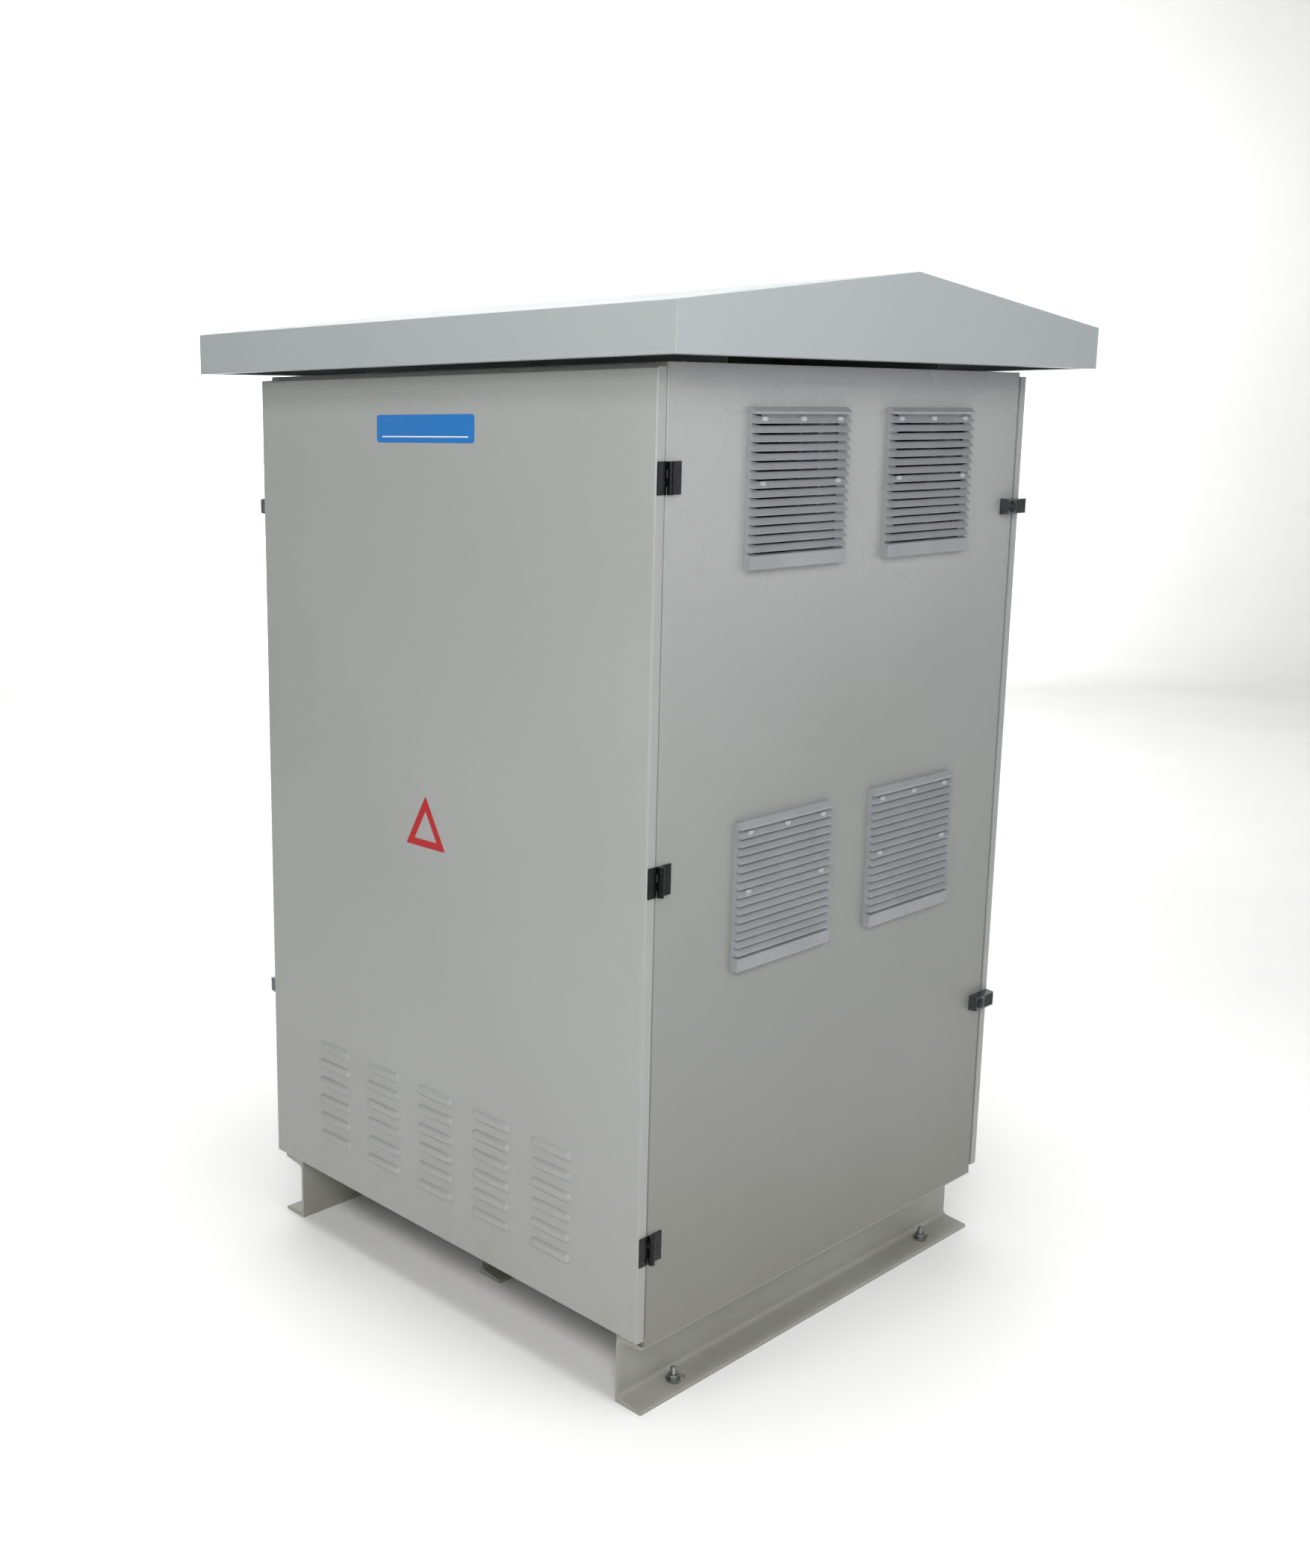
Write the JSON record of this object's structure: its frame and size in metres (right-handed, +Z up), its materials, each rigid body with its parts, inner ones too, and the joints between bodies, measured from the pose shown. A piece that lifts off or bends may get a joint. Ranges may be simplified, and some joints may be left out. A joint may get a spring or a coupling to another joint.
{
  "type": "outdoor power cabinet",
  "caption": "Pad-mounted outdoor power cabinet with gabled rain canopy, hinged front and rear doors, side vents, key locks, rolled channel base and transformer inside.",
  "frame": {"origin": "on the floor under the middle of the cabinet body", "axes": "+X to the right along the front, towards the front door's hinges; +Y to the rear; +Z up"},
  "size_m": [1.192, 1.192, 1.8745],
  "materials": {
    "galvanised_steel": "zinc plated",
    "channel_paint": "light grey enamel over rolled steel",
    "body_paint": "pale grey powder coat, fine orange peel",
    "door_paint": "pale grey powder coat, fine orange peel",
    "canopy_paint": "pale grey powder coat, semi-gloss",
    "gasket_foam": "black closed-cell foam",
    "black_zinc": "black satin coat on zinc casting",
    "steel_pin": "turned steel",
    "lock_chrome": "bright chrome",
    "barrel_metal": "dark nickel",
    "vent_plastic": "light grey moulded plastic",
    "filter_fibre": "white fibre mat",
    "fan_casting": "black die casting",
    "fan_plastic": "black glass-filled plastic",
    "gland_nylon": "black nylon",
    "core_steel": "varnished lamination stack",
    "coil_insulation": "varnished insulation paper",
    "clamp_paint": "blue enamel",
    "sink_aluminium": "extruded",
    "module_plastic": "black moulded case",
    "capacitor_can": "drawn can",
    "switchgear_plastic": "dark grey moulded case",
    "toggle_plastic": "black moulded lever",
    "board_laminate": "green solder mask",
    "terminal_plastic": "grey thermoset",
    "copper_bar": "bare copper"
  },
  "bodies": {
    "cabinet": {"channel_right": "channel_paint", "channel_left": "channel_paint", "channel_middle": "channel_paint", "anchor_bolts": "galvanised_steel", "anchor_washers": "galvanised_steel", "anchor_nuts": "galvanised_steel", "floor_pan": "body_paint", "gland_plate": "galvanised_steel", "cable_glands": "gland_nylon", "side_panel_right": "body_paint", "side_panel_left": "body_paint", "front_frame": "body_paint", "rear_frame": "body_paint", "roof_pan": "body_paint", "canopy": "canopy_paint", "canopy_rails": "body_paint", "rail_bolts": "galvanised_steel", "hinge_body_leaves": "black_zinc", "hinge_pins": "steel_pin", "front_lock_housings": "lock_chrome", "rear_lock_housings": "lock_chrome", "right_grilles": "vent_plastic", "left_grilles": "vent_plastic", "vent_housings": "vent_plastic", "filter_mats": "filter_fibre", "fan_frames": "fan_casting", "equipment_posts": "galvanised_steel", "mounting_plate": "galvanised_steel", "transformer_core": "core_steel", "transformer_coils": "coil_insulation", "transformer_clamps": "clamp_paint", "transformer_feet": "clamp_paint", "heat_sink": "sink_aluminium", "power_modules": "module_plastic", "dc_capacitors": "capacitor_can", "input_breaker": "switchgear_plastic", "contactor": "switchgear_plastic", "control_board": "board_laminate", "terminal_block": "terminal_plastic", "earth_bar": "copper_bar"},
    "front_door_leaf": {"front_door": "door_paint", "front_gasket": "gasket_foam", "front_hinge_door_leaves": "black_zinc"},
    "rear_door_leaf": {"rear_door": "door_paint", "rear_gasket": "gasket_foam", "rear_hinge_door_leaves": "black_zinc"},
    "front_lower_barrel": {"front_lower_lock_barrel": "barrel_metal"},
    "front_lower_bolt": {"front_lower_lock_bolt": "steel_pin"},
    "front_upper_barrel": {"front_upper_lock_barrel": "barrel_metal"},
    "front_upper_bolt": {"front_upper_lock_bolt": "steel_pin"},
    "rear_lower_barrel": {"rear_lower_lock_barrel": "barrel_metal"},
    "rear_lower_bolt": {"rear_lower_lock_bolt": "steel_pin"},
    "rear_upper_barrel": {"rear_upper_lock_barrel": "barrel_metal"},
    "rear_upper_bolt": {"rear_upper_lock_bolt": "steel_pin"},
    "right_front_fan": {"right_front_fan_rotor": "fan_plastic"},
    "right_rear_fan": {"right_rear_fan_rotor": "fan_plastic"},
    "left_front_fan": {"left_front_fan_rotor": "fan_plastic"},
    "left_rear_fan": {"left_rear_fan_rotor": "fan_plastic"},
    "toggle": {"breaker_toggle": "toggle_plastic"}
  },
  "joints": [
    {"name": "front_door_hinge", "type": "hinge", "parent": "cabinet", "child": "front_door_leaf", "pos_m": [0.506, -0.494, 0.929], "axis": [0, 0, 1], "range_deg": [0, 150]},
    {"name": "rear_door_hinge", "type": "hinge", "parent": "cabinet", "child": "rear_door_leaf", "pos_m": [-0.506, 0.494, 0.929], "axis": [0, 0, 1], "range_deg": [0, 150]},
    {"name": "front_lower_barrel_turn", "type": "hinge", "parent": "cabinet", "child": "front_lower_barrel", "pos_m": [-0.515, -0.4694, 0.5], "axis": [-1, 0, 0], "range_deg": [0, 90]},
    {"name": "front_lower_bolt_slide", "type": "slide", "parent": "cabinet", "child": "front_lower_bolt", "axis": [1, 0, 0], "range_m": [0, 0.008]},
    {"name": "front_upper_barrel_turn", "type": "hinge", "parent": "cabinet", "child": "front_upper_barrel", "pos_m": [-0.515, -0.4694, 1.48], "axis": [-1, 0, 0], "range_deg": [0, 90]},
    {"name": "front_upper_bolt_slide", "type": "slide", "parent": "cabinet", "child": "front_upper_bolt", "axis": [1, 0, 0], "range_m": [0, 0.008]},
    {"name": "rear_lower_barrel_turn", "type": "hinge", "parent": "cabinet", "child": "rear_lower_barrel", "pos_m": [0.515, 0.4694, 0.5], "axis": [1, 0, 0], "range_deg": [0, 90]},
    {"name": "rear_lower_bolt_slide", "type": "slide", "parent": "cabinet", "child": "rear_lower_bolt", "axis": [-1, 0, 0], "range_m": [0, 0.008]},
    {"name": "rear_upper_barrel_turn", "type": "hinge", "parent": "cabinet", "child": "rear_upper_barrel", "pos_m": [0.515, 0.4694, 1.48], "axis": [1, 0, 0], "range_deg": [0, 90]},
    {"name": "rear_upper_bolt_slide", "type": "slide", "parent": "cabinet", "child": "rear_upper_bolt", "axis": [-1, 0, 0], "range_m": [0, 0.008]},
    {"name": "right_front_fan_spin", "type": "hinge", "parent": "cabinet", "child": "right_front_fan", "pos_m": [0.43, -0.1805, 1.5335], "axis": [1, 0, 0], "continuous": true},
    {"name": "right_rear_fan_spin", "type": "hinge", "parent": "cabinet", "child": "right_rear_fan", "pos_m": [0.43, 0.197, 1.5335], "axis": [1, 0, 0], "continuous": true},
    {"name": "left_front_fan_spin", "type": "hinge", "parent": "cabinet", "child": "left_front_fan", "pos_m": [-0.43, -0.197, 1.5335], "axis": [-1, 0, 0], "continuous": true},
    {"name": "left_rear_fan_spin", "type": "hinge", "parent": "cabinet", "child": "left_rear_fan", "pos_m": [-0.43, 0.1805, 1.5335], "axis": [-1, 0, 0], "continuous": true},
    {"name": "breaker_toggle_tilt", "type": "hinge", "parent": "cabinet", "child": "toggle", "pos_m": [-0.23, 0.049, 1.13], "axis": [1, 0, 0], "range_deg": [-30, 30]}
  ],
  "couplings": [
    {"joint": "front_lower_bolt_slide", "follows": "front_lower_barrel_turn", "m_per_rad": 0.0050929},
    {"joint": "front_upper_bolt_slide", "follows": "front_upper_barrel_turn", "m_per_rad": 0.0050929},
    {"joint": "rear_lower_bolt_slide", "follows": "rear_lower_barrel_turn", "m_per_rad": 0.0050929},
    {"joint": "rear_upper_bolt_slide", "follows": "rear_upper_barrel_turn", "m_per_rad": 0.0050929}
  ]
}
